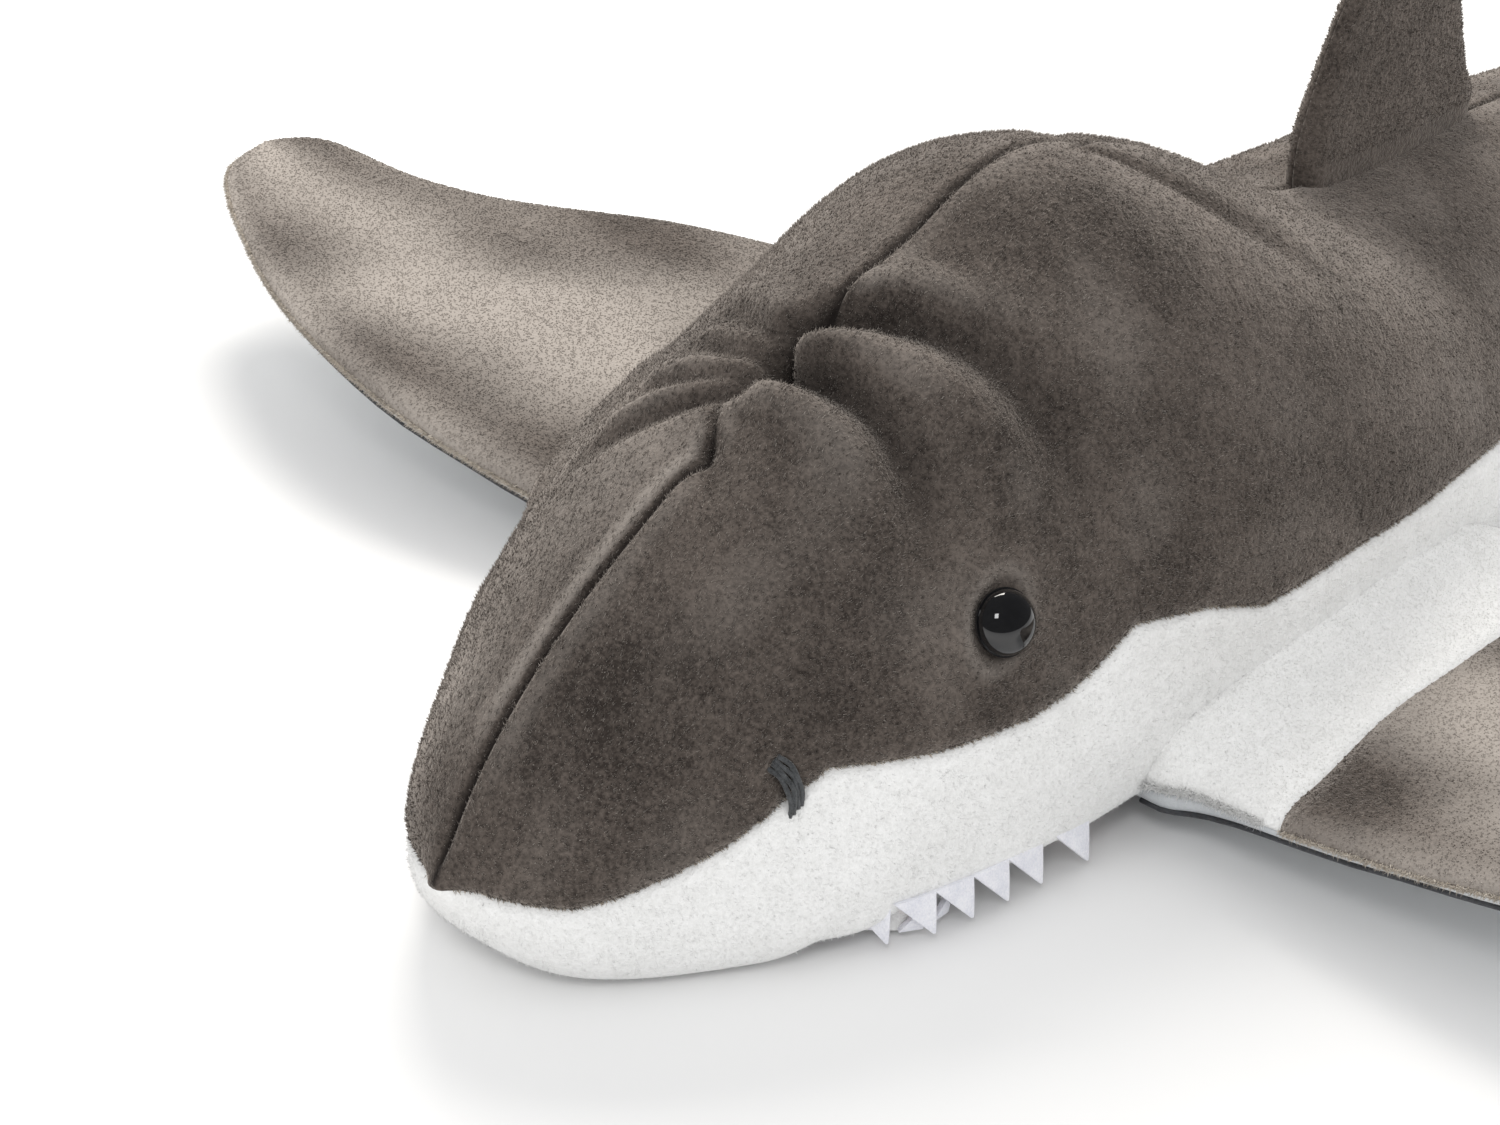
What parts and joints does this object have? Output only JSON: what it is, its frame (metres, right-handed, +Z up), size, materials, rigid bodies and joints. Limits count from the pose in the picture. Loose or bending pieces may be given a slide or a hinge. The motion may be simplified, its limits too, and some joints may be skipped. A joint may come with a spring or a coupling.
{
  "type": "plush shark",
  "caption": "Large stuffed toy shark lying on its belly, grey plush above and white below, with a soft jaw, felt teeth, domed eyes and floppy fins.",
  "frame": {"origin": "middle of the footprint, on the surface that the shark lies on", "axes": "-Y is where the nose points, +X is the shark's left, +Z is up"},
  "size_m": [0.7776, 0.8985, 0.25],
  "materials": {
    "grey_plush": "short dense velboa pile, taupe grey",
    "white_plush": "short dense pile, white",
    "smooth_lining": "smooth pale grey woven lining",
    "pink_lining": "brushed pink knit",
    "felt": "stiff white felt",
    "thread": "dark grey embroidery thread",
    "eye": "glossy black",
    "washer": "natural white",
    "fibre_fill": "polyester fibre",
    "pouch_cloth": "unbleached cotton pouch of pellets",
    "label": "white satin tape, blank"
  },
  "bodies": {
    "trunk": {"head_panel_left": "grey_plush", "head_panel_right": "grey_plush", "back_panel_left": "grey_plush", "back_panel_right": "grey_plush", "cheek_panel_left": "white_plush", "cheek_panel_right": "white_plush", "belly_panel": "white_plush", "head_filling": "fibre_fill", "torso_filling": "fibre_fill", "pellet_pouch": "pouch_cloth", "eye_left": "eye", "eye_right": "eye", "eye_washer_left": "washer", "eye_washer_right": "washer", "nostril_stitches_left": "thread", "nostril_stitches_right": "thread", "palate_lining": "pink_lining", "upper_teeth_left": "felt", "upper_teeth_right": "felt", "care_label": "label"},
    "jaw": {"jaw_panel": "white_plush", "jaw_filling": "fibre_fill", "jaw_lining": "pink_lining", "lower_teeth": "felt"},
    "pectoral_left": {"pectoral_top_left": "grey_plush", "pectoral_underside_left": "smooth_lining", "pectoral_filling_left": "fibre_fill"},
    "pectoral_right": {"pectoral_top_right": "grey_plush", "pectoral_underside_right": "smooth_lining", "pectoral_filling_right": "fibre_fill"},
    "pelvic_left": {"pelvic_fin_left": "grey_plush"},
    "pelvic_right": {"pelvic_fin_right": "grey_plush"},
    "dorsal": {"dorsal_panel_left": "grey_plush", "dorsal_panel_right": "grey_plush", "dorsal_filling": "fibre_fill"},
    "tail": {"tail_back_panel_left": "grey_plush", "tail_back_panel_right": "grey_plush", "tail_belly_panel": "white_plush", "tail_filling": "fibre_fill", "second_dorsal_fin": "grey_plush", "anal_fin": "grey_plush"},
    "tail_fin": {"caudal_panel_left": "grey_plush", "caudal_panel_right": "grey_plush", "caudal_filling": "fibre_fill"}
  },
  "joints": [
    {"name": "jaw_open", "type": "hinge", "parent": "trunk", "child": "jaw", "pos_m": [0, -0.269, 0.0067], "axis": [1, 0, 0], "range_deg": [0, 25], "stiffness_Nm_per_rad": 0.25},
    {"name": "left_pectoral_flap", "type": "hinge", "parent": "trunk", "child": "pectoral_left", "pos_m": [0.113, -0.262, 0.026], "axis": [0, -1, 0], "range_deg": [-4, 40], "stiffness_Nm_per_rad": 3},
    {"name": "right_pectoral_flap", "type": "hinge", "parent": "trunk", "child": "pectoral_right", "pos_m": [-0.113, -0.262, 0.026], "axis": [0, 1, 0], "range_deg": [-4, 40], "stiffness_Nm_per_rad": 3},
    {"name": "dorsal_flop", "type": "hinge", "parent": "trunk", "child": "dorsal", "pos_m": [0, -0.054, 0.12335], "axis": [0, 0.9993, -0.0365], "range_deg": [-30, 30], "stiffness_Nm_per_rad": 0.6},
    {"name": "tail_swing", "type": "hinge", "parent": "trunk", "child": "tail", "pos_m": [0, 0.15, 0.06], "axis": [0, 0, 1], "range_deg": [-25, 25], "stiffness_Nm_per_rad": 2},
    {"name": "tail_fin_swing", "type": "hinge", "parent": "tail", "child": "tail_fin", "pos_m": [0, 0.29, 0.085], "axis": [0, 0, 1], "range_deg": [-25, 25], "stiffness_Nm_per_rad": 0.8},
    {"name": "left_pelvic_flap", "type": "hinge", "parent": "trunk", "child": "pelvic_left", "pos_m": [0.07983, 0.058, 0.014], "axis": [0, -1, 0], "range_deg": [-5, 30], "stiffness_Nm_per_rad": 0.1},
    {"name": "right_pelvic_flap", "type": "hinge", "parent": "trunk", "child": "pelvic_right", "pos_m": [-0.07983, 0.058, 0.014], "axis": [0, 1, 0], "range_deg": [-5, 30], "stiffness_Nm_per_rad": 0.1}
  ]
}
